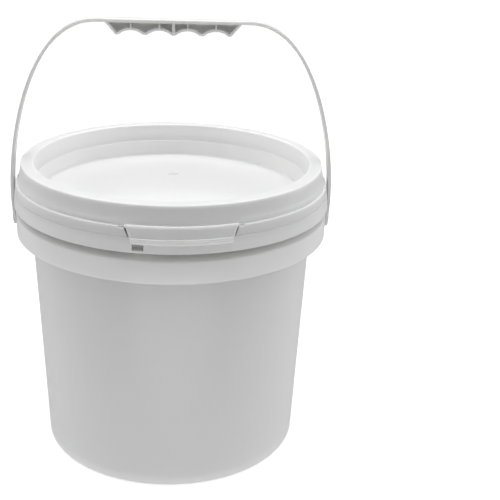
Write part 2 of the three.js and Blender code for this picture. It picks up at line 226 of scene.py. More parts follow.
BEAD_BOTTOM = PAIL_HEIGHT - BEAD_HEIGHT
BEAD_RADIUS = outside(PAIL_HEIGHT) + BEAD_REACH
FLANGE_TOP = PAIL_HEIGHT - FLANGE_DROP
FLANGE_BOTTOM = FLANGE_TOP - FLANGE_LIP
FLANGE_RADIUS = outside(FLANGE_TOP) + FLANGE_REACH
SHOULDER_TOP = PAIL_HEIGHT - SHOULDER_DROP
COLLAR_TOP = SHOULDER_TOP - SHOULDER_FALL
COLLAR_BOTTOM = COLLAR_TOP - COLLAR_HEIGHT
COLLAR_RADIUS = outside(COLLAR_TOP) + COLLAR_REACH
COLLAR_INSIDE = COLLAR_RADIUS - WALL
PIVOT_HEIGHT = (COLLAR_TOP + COLLAR_BOTTOM) / 2

LID_TOP = PAIL_HEIGHT + LID_RISE
BAND_ONE_BOTTOM = LID_TOP - BAND_ONE_HEIGHT
BAND_TWO_BOTTOM = BAND_ONE_BOTTOM - BAND_TWO_HEIGHT
SKIRT_BOTTOM = BAND_TWO_BOTTOM - BAND_THREE_HEIGHT


def band_one(z):
    return BEAD_RADIUS + CLEARANCE + LID_WALL + SKIRT_FLARE * (PAIL_HEIGHT - BEAD_EDGE - z)


def band_two(z):
    return FLANGE_RADIUS + CLEARANCE + LID_WALL + BAND_TWO_FLARE * (FLANGE_TOP - z)


def band_three(z):
    return band_two(BAND_TWO_BOTTOM) + BAND_THREE_STEP + BAND_THREE_FLARE * (BAND_TWO_BOTTOM - z)


PLUG_RADIUS = inside(PAIL_HEIGHT) - PLUG_GAP
RECESS_RADIUS = PLUG_RADIUS - LID_WALL
SKIRT_RADIUS = band_three(SKIRT_BOTTOM)
TAB_BOTTOM = BAND_TWO_BOTTOM - TAB_LIP_HEIGHT
TAB_SLOPE = (TAB_TOP_WIDTH - TAB_BOTTOM_WIDTH) / 2 / (BAND_ONE_BOTTOM - TAB_BOTTOM)


def tab_half(z):
    return TAB_TOP_WIDTH / 2 - TAB_SLOPE * (BAND_ONE_BOTTOM - z)


BAIL_TOP = PIVOT_HEIGHT + BAIL_RISE
STRAP_OUTSIDE = SKIRT_RADIUS + CLEARANCE + STRAP_THICKNESS
FOOT_OUTSIDE = COLLAR_RADIUS + CLEARANCE + STRAP_THICKNESS
GRIP_TIP_END = FINGER_COUNT / 2 * FINGER_PITCH + GRIP_TIP / 2
GRIP_TOP_END = GRIP_TIP_END + GRIP_END_REACH
GRIP_FOOT = BAIL_TOP - GRIP_DEPTH
FINGER_PLACES = [(i - (FINGER_COUNT - 1) / 2) * FINGER_PITCH for i in range(FINGER_COUNT)]


# Modelling by hand: one piece in edit mode at a time.


def deselect():
    bpy.ops.object.select_all(action="DESELECT")


def only(piece):
    deselect()
    piece.select_set(True)
    bpy.context.view_layer.objects.active = piece


def start(name):
    """A new object in edit mode that holds one vertex at the origin."""
    deselect()
    bpy.ops.mesh.primitive_plane_add(size=1)
    piece = bpy.context.object
    piece.name = name
    piece.data.name = name
    bpy.ops.object.mode_set(mode="EDIT")
    bpy.ops.mesh.merge(type="CENTER")
    return piece


def draw(points):
    """Extrude the active vertex through the points, given in millimetres; it starts at the origin."""
    bpy.ops.transform.translate(value=Vector(points[0]) * MM)
    for last, point in zip(points, points[1:]):
        step = (Vector(point) - Vector(last)) * MM
        bpy.ops.mesh.extrude_region_move(TRANSFORM_OT_translate={"value": step})


def cleaned():
    """Weld what meets, turn the faces outwards and leave edit mode."""
    bpy.ops.mesh.select_all(action="SELECT")
    bpy.ops.mesh.remove_doubles(threshold=1e-6)
    bpy.ops.mesh.normals_make_consistent(inside=False)
    bpy.ops.object.mode_set(mode="OBJECT")


def filleted(profile):
    """Round each [radius, height, fillet] corner of a profile with an arc of its fillet."""
    points = []
    for i, (r, z, fillet) in enumerate(profile):
        if fillet <= 0 or i in (0, len(profile) - 1):
            points.append((r, z))
            continue
        here = Vector((r, z))
        before = Vector(profile[i - 1][:2]) - here
        after = Vector(profile[i + 1][:2]) - here
        half = before.angle(after) / 2
        reach = fillet / math.tan(half)
        reach = min(reach, FILLET_SHARE * before.length, FILLET_SHARE * after.length)
        radius = reach * math.tan(half)
        centre = here + (before.normalized() + after.normalized()).normalized() * radius / math.sin(half)
        first = here + before.normalized() * reach - centre
        last = here + after.normalized() * reach - centre
        sweep = first.angle_signed(last)
        for k in range(FILLET_STEPS + 1):
            turned_arm = Matrix.Rotation(-sweep * k / FILLET_STEPS, 2) @ first
            points.append(tuple(centre + turned_arm))
    return points


def turned(name, profile, degrees=360, steps=TURN_STEPS, from_degrees=0):
    """Spin a profile of [radius, height, fillet] about Z, as the mould's core and cavity were turned."""
    piece = start(name)
    angle = math.radians(from_degrees)
    across = Vector((math.cos(angle), math.sin(angle), 0))
    draw([tuple(across * r + Vector((0, 0, z))) for r, z in filleted(profile)])
    bpy.ops.mesh.select_all(action="SELECT")
    bpy.ops.mesh.spin(steps=steps, angle=math.radians(degrees), center=(0, 0, 0), axis=(0, 0, 1))
    cleaned()
    return piece


def closed(profile):
    return [*profile, profile[0]]


def plate(name, outline, depth, across=(1, 0, 0)):
    """An upright flat outline in millimetres, filled and extruded evenly to both sides of its plane."""
    across = Vector(across)
    up = Vector((0, 0, 1))
    through = across.cross(up)
    piece = start(name)
    flat = [across * u + up * v - through * depth / 2 for u, v in outline]
    draw([tuple(point) for point in flat])
    bpy.ops.mesh.select_all(action="SELECT")
    bpy.ops.mesh.edge_face_add()
    step = through * depth * MM
    bpy.ops.mesh.extrude_region_move(TRANSFORM_OT_translate={"value": step})
    cleaned()
    return piece


def rod(name, radius, length, middle, axis, vertices):
    """A cylinder along X or Y about its middle, in millimetres."""
    deselect()
    turn = {"X": (0, math.pi / 2, 0), "Y": (math.pi / 2, 0, 0)}[axis]
    bpy.ops.mesh.primitive_cylinder_add(
        vertices=vertices,
        radius=radius * MM,
        depth=length * MM,
        location=Vector(middle) * MM,
        rotation=turn,
    )
    piece = bpy.context.object
    piece.name = name
    bpy.ops.object.transform_apply(location=True, rotation=True, scale=True)
    return piece


def copied(piece, turn_degrees=0, shift=(0, 0, 0)):
    """A copy with its own mesh, turned about Z and moved in millimetres."""
    twin = piece.copy()
    twin.data = piece.data.copy()
    bpy.context.scene.collection.objects.link(twin)
    place = Matrix.Translation(Vector(shift) * MM)
    twin.data.transform(place @ Matrix.Rotation(math.radians(turn_degrees), 4, "Z"))
    return twin


def gathered(pieces):
    """Join separate pieces that don't touch into one object."""
    only(pieces[0])
    for piece in pieces[1:]:
        piece.select_set(True)
    if len(pieces) > 1:
        bpy.ops.object.join()
    return pieces[0]


def finished(piece, kind, **settings):
    """Add one modifier with its settings and apply it."""
    only(piece)
    modifier = piece.modifiers.new(kind.title(), kind)
    for name, value in settings.items():
        setattr(modifier, name, value)
    bpy.ops.object.modifier_apply(modifier=modifier.name)
    return piece


def combined(piece, tool, operation):
    """Cut, join or keep the common part of two closed pieces, and delete the tool."""
    finished(piece, "BOOLEAN", object=tool, operation=operation, solver="MANIFOLD")
    bpy.data.objects.remove(tool)
    return piece


def bevelled(piece):
    """Break the sharp edges of a strap or grip."""
    return finished(
        piece,
        "BEVEL",
        width=STRAP_EDGE * MM,
        segments=EDGE_STEPS,
        limit_method="ANGLE",
        angle_limit=BEVEL_LIMIT,
    )


def smoothed(piece):
    only(piece)
    bpy.ops.object.shade_smooth_by_angle(angle=math.radians(SMOOTH_DEGREES))
    return piece


# Pail.


def pail_shell():
    ring_outer = outside(0)
    ring_inner = ring_outer - FOOT_CORNER - FOOT_RING_WIDTH
    floor_top = FOOT_RECESS + FLOOR_THICKNESS
    flange_root = FLANGE_TOP + FLANGE_SLOPE
    under = FLANGE_LIP - WALL
    return turned("pail_moulding", [
        (0, FOOT_RECESS, 0),
        (ring_inner - FOOT_RECESS / 2, FOOT_RECESS, 1.6),
        (ring_inner, 0, 0.8),
        (ring_outer, 0, FOOT_CORNER),
        (outside(COLLAR_BOTTOM), COLLAR_BOTTOM, 0),
        (outside(SHOULDER_TOP - WALL), SHOULDER_TOP - WALL, 0.8),
        (COLLAR_INSIDE, COLLAR_TOP - WALL, 0.8),
        (COLLAR_INSIDE, COLLAR_BOTTOM, 0.25),
        (COLLAR_RADIUS, COLLAR_BOTTOM, 0.35),
        (COLLAR_RADIUS, COLLAR_TOP, 1.4),
        (outside(SHOULDER_TOP), SHOULDER_TOP, 1.2),
        (outside(FLANGE_TOP - WALL / 2), FLANGE_TOP - WALL / 2, 0.8),
        (FLANGE_RADIUS - WALL, FLANGE_BOTTOM + under - FLANGE_SLOPE / 4, 0.6),
        (FLANGE_RADIUS - WALL, FLANGE_BOTTOM, 0.25),
        (FLANGE_RADIUS, FLANGE_BOTTOM, 0.35),
        (FLANGE_RADIUS, FLANGE_TOP, 0.8),
        (outside(flange_root), flange_root, 1.0),
        (outside(BEAD_BOTTOM - BEAD_REACH / 2), BEAD_BOTTOM - BEAD_REACH / 2, 1.0),
        (BEAD_RADIUS, BEAD_BOTTOM, 0.4),
        (BEAD_RADIUS, PAIL_HEIGHT, BEAD_EDGE),
        (inside(PAIL_HEIGHT), PAIL_HEIGHT, BEAD_EDGE),
        (inside(floor_top), floor_top, FLOOR_FILLET),
        (0, floor_top, 0),
    ])


def foot_gussets():
    root = outside(FOOT_CORNER) - FOOT_CORNER - FOOT_RING_WIDTH
    first = plate("foot_gusset", [
        (root - GUSSET_LENGTH, FOOT_RECESS + WALL / 4),
        (root - GUSSET_LENGTH, FOOT_RECESS - WALL / 4),
        (root - WALL, WALL / 4),
        (root + WALL / 2, WALL / 4),
        (root + WALL / 2, FOOT_RECESS + WALL / 4),
    ], GUSSET_THICKNESS)
    pitch = 360 / GUSSET_COUNT
    gussets = [copied(first, (i + 0.5) * pitch) for i in range(GUSSET_COUNT)]
    bpy.data.objects.remove(first)
    return gathered(gussets)


def collar_ribs():
    sunk = WALL / 2
    first = plate("collar_rib", [
        (outside(COLLAR_BOTTOM) - sunk, COLLAR_BOTTOM + WALL),
        (COLLAR_INSIDE + sunk, COLLAR_BOTTOM + WALL),
        (COLLAR_INSIDE + sunk, COLLAR_TOP - sunk),
        (outside(SHOULDER_TOP) - sunk, SHOULDER_TOP - sunk),
    ], COLLAR_RIB_THICKNESS)
    pitch = 360 / COLLAR_RIB_COUNT
    angles = [(i + 0.5) * pitch for i in range(COLLAR_RIB_COUNT)]
    angles += [side + turn for side in (0, 180) for turn in (-PIVOT_RIB_ANGLE, PIVOT_RIB_ANGLE)]
    ribs = [copied(first, angle) for angle in angles]
    bpy.data.objects.remove(first)
    return gathered(ribs)


def pivot_holes():
    length = COLLAR_RADIUS - COLLAR_INSIDE + 2 * WALL
    middle = (COLLAR_RADIUS + COLLAR_INSIDE) / 2
    radius = PIN_RADIUS + CLEARANCE
    return gathered([
        rod("pivot_hole", radius, length, (side * middle, 0, PIVOT_HEIGHT), "X", SMALL_TURN_STEPS)
        for side in (-1, 1)
    ])


def pail_moulding():
    pail = pail_shell()
    combined(pail, foot_gussets(), "UNION")
    combined(pail, collar_ribs(), "UNION")
    combined(pail, pivot_holes(), "DIFFERENCE")
    return smoothed(pail)


# Lid.


def crown(radius, height):
    """The recessed panel's crown, from the middle out to where it meets the recess wall."""
    shares = [i / PANEL_STEPS for i in range(PANEL_STEPS)]
    return [(share * radius, height + PANEL_RISE * (1 - share**2), 0) for share in shares]


def lid_shell():
    panel_top = LID_TOP - RECESS_DEPTH
    panel_bottom = panel_top - LID_WALL
    ledge = BAND_ONE_BOTTOM + RECESS_LEDGE_RISE
    seal_height = BEAD_BOTTOM + BEAD_HEIGHT / 2
    seal_radius = inside(seal_height) - CLEARANCE
    roof = PAIL_HEIGHT + CLEARANCE
    snap_top = BEAD_BOTTOM - CLEARANCE
    hook_top = FLANGE_BOTTOM - CLEARANCE

    def recess(z):
        return RECESS_RADIUS - RECESS_DRAFT * (LID_TOP - z)

    def plug(z):
        return recess(z) + LID_WALL

    return turned("lid_moulding", [
        *crown(plug(panel_bottom), panel_bottom),
        (plug(panel_bottom), panel_bottom, RECESS_FILLET),
        (plug(seal_height - SEAL_REACH), seal_height - SEAL_REACH, 1.0),
        (seal_radius, seal_height - SEAL_FLAT, 0.8),
        (seal_radius, seal_height + SEAL_FLAT, 0.8),
        (plug(seal_height + SEAL_REACH), seal_height + SEAL_REACH, 1.0),
        (plug(roof), roof, 0.5),
        (band_one(roof) - LID_WALL, roof, 0.8),
        (band_one(snap_top) - LID_WALL, snap_top + SNAP_HOOK / 2, 0.3),
        (BEAD_RADIUS - SNAP_HOOK, snap_top - SNAP_HOOK / 2, 0.4),
        (BEAD_RADIUS - SNAP_HOOK, snap_top - 2 * SNAP_HOOK, 0.4),
        (band_one(BAND_ONE_BOTTOM) - LID_WALL, BAND_ONE_BOTTOM, 0.4),
        (band_two(BAND_ONE_BOTTOM - LID_WALL) - LID_WALL, BAND_ONE_BOTTOM - LID_WALL, 0.4),
        (band_two(hook_top) - LID_WALL, hook_top, 0.3),
        (FLANGE_RADIUS - SNAP_HOOK, hook_top - SNAP_HOOK / 2, 0.4),
        (FLANGE_RADIUS - SNAP_HOOK, hook_top - 2 * SNAP_HOOK, 0.4),
        (band_three(hook_top - 4 * SNAP_HOOK) - LID_WALL, hook_top - 4 * SNAP_HOOK, 0.4),
        (band_three(SKIRT_BOTTOM) - LID_WALL, SKIRT_BOTTOM, 0.25),
        (band_three(SKIRT_BOTTOM), SKIRT_BOTTOM, 0.35),
        (band_three(BAND_TWO_BOTTOM - BREAK_LINE), BAND_TWO_BOTTOM - BREAK_LINE, 0.1),
        (band_two(BAND_TWO_BOTTOM) - BREAK_LINE, BAND_TWO_BOTTOM, 0),
        (band_two(BAND_TWO_BOTTOM), BAND_TWO_BOTTOM + BREAK_LINE, 0.1),
        (band_two(BAND_ONE_BOTTOM), BAND_ONE_BOTTOM, 0.5),
        (band_one(BAND_ONE_BOTTOM), BAND_ONE_BOTTOM, 0.3),
        (band_one(LID_TOP), LID_TOP, 0.8),
        (recess(LID_TOP), LID_TOP, 0.8),
        (recess(ledge), ledge, 0.2),
        (recess(ledge) - RECESS_LEDGE, ledge - RECESS_LEDGE, 0.2),
        (recess(panel_top) - RECESS_LEDGE, panel_top, RECESS_FILLET),
        *crown(recess(panel_top) - RECESS_LEDGE, panel_top)[::-1],
    ])


def tab_frame():
    """Directions along the tab's chord and out of it."""
    angle = math.radians(TAB_TURN)
    across = Vector((math.cos(angle), math.sin(angle), 0))
    outwards = across.cross(Vector((0, 0, 1)))
    return across, outwards


def through_skirt(name, outline):
    """An outline on the tab's chord plane, pushed through the skirt in front and short of the panel."""
    across, outwards = tab_frame()
    piece = plate(name, outline, SKIRT_RADIUS, across)
    piece.data.transform(Matrix.Translation(outwards * SKIRT_RADIUS * MM))
    return piece


def tab_sector(name, profile):
    """A profile spun over the stretch of skirt that carries the tab, in step with the lid's own facets."""
    step = 360 / TURN_STEPS
    return turned(name, closed(profile), TAB_SECTOR_STEPS * step, TAB_SECTOR_STEPS, TAB_SECTOR_START * step)


def trapezoid(inset, top, bottom):
    """The tab's outline between two heights, drawn in at both sides."""
    return [
        (-tab_half(bottom) + inset, bottom),
        (tab_half(bottom) - inset, bottom),
        (tab_half(top) - inset, top),
        (-tab_half(top) + inset, top),
    ]


def capped(piece):
    """Close both ends of a spun sector."""
    only(piece)
    bpy.ops.object.mode_set(mode="EDIT")
    bpy.ops.mesh.select_all(action="SELECT")
    bpy.ops.mesh.fill_holes(sides=0)
    cleaned()
    return piece


def pull_tab():
    sunk = LID_WALL / 2
    proud = TAB_RAISE + TAB_BORDER_RAISE
    foot = band_two(BAND_TWO_BOTTOM)
    head = band_two(BAND_ONE_BOTTOM)
    tab_top = BAND_ONE_BOTTOM + TAB_HEAD
    face = capped(tab_sector("tab_face", [
        (foot - sunk, BAND_TWO_BOTTOM - sunk, 0),
        (foot + proud, BAND_TWO_BOTTOM - sunk, 0),
        (head + proud, tab_top, 0),
        (head - sunk, tab_top, 0),
    ]))
    sinking = capped(tab_sector("tab_sinking", [
        (foot + TAB_RAISE, BAND_TWO_BOTTOM, 0),
        (foot + 2 * proud, BAND_TWO_BOTTOM, 0),
        (head + 2 * proud, tab_top - TAB_BORDER, 0),
        (head + TAB_RAISE, tab_top - TAB_BORDER, 0),
    ]))
    middle = trapezoid(TAB_BORDER, tab_top, BAND_TWO_BOTTOM - CUT_MARGIN)
    combined(sinking, through_skirt("tab_middle", middle), "INTERSECT")
    combined(face, sinking, "DIFFERENCE")
    ridge = TAB_LIP_HEIGHT / TAB_LIP_RIDGES
    profile = [(band_three(TAB_BOTTOM) - sunk, TAB_BOTTOM, 0)]
    for i in range(TAB_LIP_RIDGES):
        z = TAB_BOTTOM + i * ridge
        reach = TAB_LIP_REACH * (1 - TAB_LIP_TAPER * i / TAB_LIP_RIDGES)
        profile.append((band_three(z) + reach, z, 0.15))
        profile.append((band_three(z) + reach, z + RIDGE_FLAT * ridge, 0.15))
        profile.append((band_three(z) + GROOVE_FLOOR * reach, z + GROOVE_PLACE * ridge, 0.1))
    profile.append((band_three(BAND_TWO_BOTTOM) + TAB_RAISE, BAND_TWO_BOTTOM, 0))
    profile.append((band_three(BAND_TWO_BOTTOM) - sunk, BAND_TWO_BOTTOM, 0))
    lip = capped(tab_sector("tab_lip", profile))
    combined(face, lip, "UNION")
    outline = trapezoid(0, tab_top + CUT_MARGIN, TAB_BOTTOM - CUT_MARGIN)
    combined(face, through_skirt("tab_outline", outline), "INTERSECT")
    return face


def skirt_zone():
    """What a cut may take: the skirt, and nothing of the plug wall or the panel behind it."""
    root = BEAD_RADIUS - 2 * SNAP_HOOK
    reach = SKIRT_RADIUS + 2 * TAB_LIP_REACH
    return turned("skirt_zone", closed([
        (root, SKIRT_BOTTOM, 0),
        (reach, SKIRT_BOTTOM, 0),
        (reach, LID_TOP - LID_WALL, 0),
        (root, LID_TOP - LID_WALL, 0),
    ]))


def tab_slot(side):
    """The slit beside the tab that lets a finger behind it."""
    top = BAND_ONE_BOTTOM - LID_WALL / 2
    foot = BAND_TWO_BOTTOM
    return through_skirt("tab_slot", [
        (side * tab_half(foot), foot),
        (side * (tab_half(foot) + SLOT_WIDTH), foot),
        (side * (tab_half(top) + SLOT_WIDTH), top),
        (side * tab_half(top), top),
    ])


def tear_window():
    left = -tab_half(TAB_BOTTOM)
    bottom = TAB_BOTTOM - WINDOW_HEIGHT
    return through_skirt("tear_window", [
        (left, bottom),
        (left + WINDOW_WIDTH, bottom),
        (left + WINDOW_WIDTH, TAB_BOTTOM),
        (left, TAB_BOTTOM),
    ])


def strip_notches():
    """Short cuts above the strip at both sides of the tab, where tearing starts."""
    root = band_two(BAND_ONE_BOTTOM) - NOTCH_DEPTH
    ring = turned("strip_notches", closed([
        (root, BAND_ONE_BOTTOM - NOTCH_DEPTH, 0),
        (SKIRT_RADIUS, BAND_ONE_BOTTOM - NOTCH_DEPTH, 0),
        (SKIRT_RADIUS, BAND_ONE_BOTTOM + NOTCH_DEPTH, 0),
        (root, BAND_ONE_BOTTOM + NOTCH_DEPTH, 0),
    ]))
    near = tab_half(BAND_ONE_BOTTOM) + SLOT_WIDTH / 2
    low = BAND_ONE_BOTTOM - 2 * NOTCH_DEPTH
    high = BAND_ONE_BOTTOM + 2 * NOTCH_DEPTH
    blocks = [
        through_skirt("notch_block", [
            (side * near, low),
            (side * (near + NOTCH_WIDTH), low),
            (side * (near + NOTCH_WIDTH), high),
            (side * near, high),
        ])
        for side in (-1, 1)
    ]
    return combined(ring, gathered(blocks), "INTERSECT")


def gate_mark():
    """The dimple that the mould's gate leaves at the top of the crown."""
    top = LID_TOP - RECESS_DEPTH + PANEL_RISE
    return turned("gate_mark", [
        (0, top - GATE_MARK_DEPTH, 0),
        (GATE_MARK_FLOOR * GATE_MARK_RADIUS, top - GATE_MARK_DEPTH, 0.3),
        (GATE_MARK_MOUTH * GATE_MARK_RADIUS, top + GATE_MARK_DEPTH / 4, 0),
        (0, top + GATE_MARK_DEPTH / 4, 0),
    ], steps=SMALL_TURN_STEPS)


def lid_moulding():
    lid = lid_shell()
    openings = gathered([tab_slot(-1), tab_slot(1), tear_window()])
    combined(openings, skirt_zone(), "INTERSECT")
    combined(lid, openings, "DIFFERENCE")
    combined(lid, strip_notches(), "DIFFERENCE")
    combined(lid, gate_mark(), "DIFFERENCE")
    combined(lid, pull_tab(), "UNION")
    return smoothed(lid)


# Bail.


def bezier(a, b, c, d, t):
    s = 1 - t
    return a * s**3 + b * 3 * s * s * t + c * 3 * s * t * t + d * t**3


def strap_line():
    """The strap's outer line on the +X side, from the paddle's foot to the middle of the grip."""
    spring = Vector((STRAP_OUTSIDE, PIVOT_HEIGHT + LEG_HEIGHT))
    shoulder = Vector((GRIP_TOP_END + STRAP_RUN, BAIL_TOP))
    side = spring + Vector((0, ARCH_SIDE_HANDLE))
    top = shoulder + Vector((ARCH_TOP_HANDLE, 0))
    line = [Vector((FOOT_OUTSIDE, PIVOT_HEIGHT - PADDLE_RADIUS)), Vector((STRAP_OUTSIDE, SKIRT_BOTTOM))]
    line += [bezier(spring, side, top, shoulder, i / ARCH_STEPS) for i in range(ARCH_STEPS + 1)]
    return [*line, Vector((0, BAIL_TOP))]


def strap_ribbon():
    """The outer line drawn over both sides, widened along Y and thickened inwards."""
    right = strap_line()
    left = [Vector((-point.x, point.y)) for point in right[:-1]]
    line = right + left[::-1]
    piece = start("bail_moulding")
    draw([(x, -PADDLE_RADIUS, z) for x, z in line])
    bpy.ops.mesh.select_all(action="SELECT")
    bpy.ops.mesh.extrude_region_move(TRANSFORM_OT_translate={"value": (0, 2 * PADDLE_RADIUS * MM, 0)})
    cleaned()
    middle = piece.data.polygons[len(piece.data.polygons) // 2]
    upwards = middle.normal.z > 0
    finished(
        piece,
        "SOLIDIFY",
        thickness=STRAP_THICKNESS * MM,
        offset=-1 if upwards else 1,
        use_even_offset=True,
    )
    only(piece)
    bpy.ops.object.mode_set(mode="EDIT")
    cleaned()
    return piece


def strap_side():
    """The strap seen from the side: a round paddle about the pivot, then straight up."""
    half = STRAP_WIDTH / 2
    begin = math.atan2(math.sqrt(PADDLE_RADIUS**2 - half**2), half)
    sweep = math.pi + 2 * begin
    outline = [(half, BAIL_TOP + STRAP_THICKNESS), (-half, BAIL_TOP + STRAP_THICKNESS)]
    for i in range(PADDLE_STEPS + 1):
        angle = math.pi - begin + sweep * i / PADDLE_STEPS
        outline.append((PADDLE_RADIUS * math.cos(angle), PIVOT_HEIGHT + PADDLE_RADIUS * math.sin(angle)))
    return plate("strap_side", outline, 3 * STRAP_OUTSIDE, (0, 1, 0))


def pivot_pin(side):
    """The pin through the collar's hole, with its head behind the collar, on one side."""
    head_face = math.sqrt(COLLAR_INSIDE**2 - PIN_HEAD_RADIUS**2) - 2 * CLEARANCE
    shoulder_end = head_face - PIN_HEAD_LENGTH
    root = (FOOT_OUTSIDE + STRAP_OUTSIDE) / 2 - STRAP_THICKNESS / 2
    pin = turned("pivot_pin", [
        (0, shoulder_end - PIN_NOSE, 0),
        (PIN_HEAD_RADIUS - PIN_NOSE, shoulder_end - PIN_NOSE, 0.3),
        (PIN_HEAD_RADIUS, shoulder_end, 0.3),
        (PIN_HEAD_RADIUS, head_face, 0.2),
        (PIN_RADIUS, head_face, 0),
        (PIN_RADIUS, root, 0),
        (0, root, 0),
    ], steps=SMALL_TURN_STEPS)
    lay = Matrix.Rotation(side * math.pi / 2, 4, "Y")
    pin.data.transform(Matrix.Translation((0, 0, PIVOT_HEIGHT * MM)) @ lay)
    return pin


def finger_cylinders(skin):
    """Cutters of the scallops, grown by the skin that stays around the pockets."""
    chord = FINGER_PITCH - GRIP_TIP_FLAT
    radius = (chord**2 / 4 + SCALLOP_DEPTH**2) / (2 * SCALLOP_DEPTH)
    height = GRIP_FOOT + SCALLOP_DEPTH - radius
    length = 2 * GRIP_WIDTH
    return [
        rod("finger", radius + skin, length, (x, 0, height), "Y", FINGER_STEPS) for x in FINGER_PLACES
    ]


def grip_block(name, width, skin, top_skin):
    """The grip without its scallops, drawn in by one skin below and at the ends and by one above."""
    slope = GRIP_END_REACH / GRIP_DEPTH

    def edge(z):
        return GRIP_TIP_END + slope * (z - GRIP_FOOT) - skin * math.hypot(1, slope)

    low = GRIP_FOOT + skin
    high = BAIL_TOP - top_skin
    outline = [(-edge(low), low), (edge(low), low), (edge(high), high), (-edge(high), high)]
    return plate(name, outline, width)


def grip_ribs():
    """Cross ribs over each scallop's crest and a wider one in the middle."""
    widths = [(x, GRIP_RIB) for x in FINGER_PLACES] + [(0, GRIP_MIDDLE_RIB)]
    return gathered([
        plate("grip_rib", [
            (x - width / 2, GRIP_FOOT),
            (x + width / 2, GRIP_FOOT),
            (x + width / 2, BAIL_TOP),
            (x - width / 2, BAIL_TOP),
        ], 2 * GRIP_WIDTH)
        for x, width in widths
    ])


def rounded_tips(grip):
    """Round the edges across the tips between the fingers, as the mould's cutter leaves them."""
    weights = grip.data.attributes.new("bevel_weight_edge", "FLOAT", "EDGE")
    for edge in grip.data.edges:
        one, other = [grip.data.vertices[i].co / MM for i in edge.vertices]
        at_tip = max(one.z, other.z) < GRIP_FOOT + TIP_TOLERANCE
        crosswise = abs(other.y - one.y) > CROSSWISE_SHARE * (other - one).length
        if at_tip and crosswise:
            weights.data[edge.index].value = 1.0
    finished(grip, "BEVEL", width=GRIP_TIP_ROUND * MM, segments=TIP_STEPS, limit_method="WEIGHT")


def finger_grip():
    grip = grip_block("finger_grip", GRIP_WIDTH, 0, 0)
    for cylinder in finger_cylinders(0):
        combined(grip, cylinder, "DIFFERENCE")
    rounded_tips(grip)
    bevelled(grip)
    depth = GRIP_WIDTH / 2
    pocket = grip_block("grip_pocket", depth, GRIP_SKIN, STRAP_THICKNESS)
    for cylinder in finger_cylinders(GRIP_SKIN):
        combined(pocket, cylinder, "DIFFERENCE")
    combined(pocket, grip_ribs(), "DIFFERENCE")
    offset = (GRIP_WEB + depth) / 2
    other = copied(pocket, 0, (0, offset, 0))
    pocket.data.transform(Matrix.Translation((0, -offset * MM, 0)))
    combined(grip, pocket, "DIFFERENCE")
    combined(grip, other, "DIFFERENCE")
    return grip


def bail_moulding():
    bail = strap_ribbon()
    combined(bail, strap_side(), "INTERSECT")
    bevelled(bail)
    combined(bail, finger_grip(), "UNION")
    combined(bail, pivot_pin(-1), "UNION")
    combined(bail, pivot_pin(1), "UNION")
    return smoothed(bail)


# Finishes.


def linear(code):
    """An sRGB hex colour as the linear colour that the shader takes."""
    values = [int(code[i : i + 2], 16) / 255 for i in (1, 3, 5)]
    bent = [v / 12.92 if v <= 0.04045 else ((v + 0.055) / 1.055) ** 2.4 for v in values]
    return (*bent, 1.0)


def node(tree, kind, values=None, links=None, **settings):
    """Add one node with its settings, the values of its sockets and its links."""
    made = tree.nodes.new(kind)
    for name, value in settings.items():
        setattr(made, name, value)
    for socket, value in (values or {}).items():
        made.inputs[socket].default_value = value
    for socket, source in (links or {}).items():
        tree.links.new(source, made.inputs[socket])
    return made


def moulded_polypropylene(name, colour, cloud, roughness, scatter):
    """Injection-moulded polypropylene, opaque white, from a mould with a fine satin finish.

    It gives a soft wide sheen and no sharp reflection. Thin edges glow a little because the plastic
    scatters light. Flow in the mould leaves a faint cloudiness, and shrinkage a faint waviness.
    """
    material = bpy.data.materials.new(name)
    material.use_nodes = True
    tree = material.node_tree
    tree.nodes.clear()
    place = node(tree, "ShaderNodeTexCoord").outputs["Object"]

    # Cloudiness of the flow.
    flow = node(
        tree, "ShaderNodeTexNoise",
        {"Scale": 1 / FLOW_SIZE, "Detail": 3.0, "Roughness": 0.45}, {"Vector": place},
    )
    tint = node(
        tree, "ShaderNodeMix",
        {6: linear(colour), 7: linear(cloud)}, {0: flow.outputs["Fac"]}, data_type="RGBA",
    )
    # Sheen varies where the plastic pulled away from the mould.
    patches = node(
        tree, "ShaderNodeTexNoise",
        {"Scale": 1 / PATCH_SIZE, "Detail": 2.0, "Roughness": 0.5}, {"Vector": place},
    )
    sheen = node(
        tree, "ShaderNodeMapRange",
        {"From Min": 0.3, "From Max": 0.7, "To Min": roughness - 0.03, "To Max": roughness + 0.04},
        {"Value": patches.outputs["Fac"]},
    )
    # Satin grain of the spark-eroded mould.
    grain = node(
        tree, "ShaderNodeTexNoise",
        {"Scale": 1 / GRAIN_SIZE, "Detail": 2.0, "Roughness": 0.6}, {"Vector": place},
    )
    fine = node(
        tree, "ShaderNodeBump",
        {"Strength": 0.12, "Distance": 0.00002}, {"Height": grain.outputs["Fac"]},
    )
    # Shrinkage waviness, a few hundredths of a millimetre deep.
    waves = node(
        tree, "ShaderNodeTexNoise",
        {"Scale": 1 / WAVE_SIZE, "Detail": 1.0, "Roughness": 0.4}, {"Vector": place},
    )
    broad = node(
        tree, "ShaderNodeBump",
        {"Strength": 0.3, "Distance": 0.00006},
        {"Height": waves.outputs["Fac"], "Normal": fine.outputs["Normal"]},
    )
    shader = node(
        tree, "ShaderNodeBsdfPrincipled",
        {
            "Metallic": 0.0,
            "IOR": PLASTIC_IOR,
            "Subsurface Weight": scatter,
            "Subsurface Radius": (1.0, 1.0, 0.95),
            "Subsurface Scale": SCATTER_DISTANCE,
        },
        {
            "Base Color": tint.outputs[2],
            "Roughness": sheen.outputs["Result"],
            "Normal": broad.outputs["Normal"],
        },
    )
    node(tree, "ShaderNodeOutputMaterial", links={"Surface": shader.outputs["BSDF"]})
    return material


# Studio.


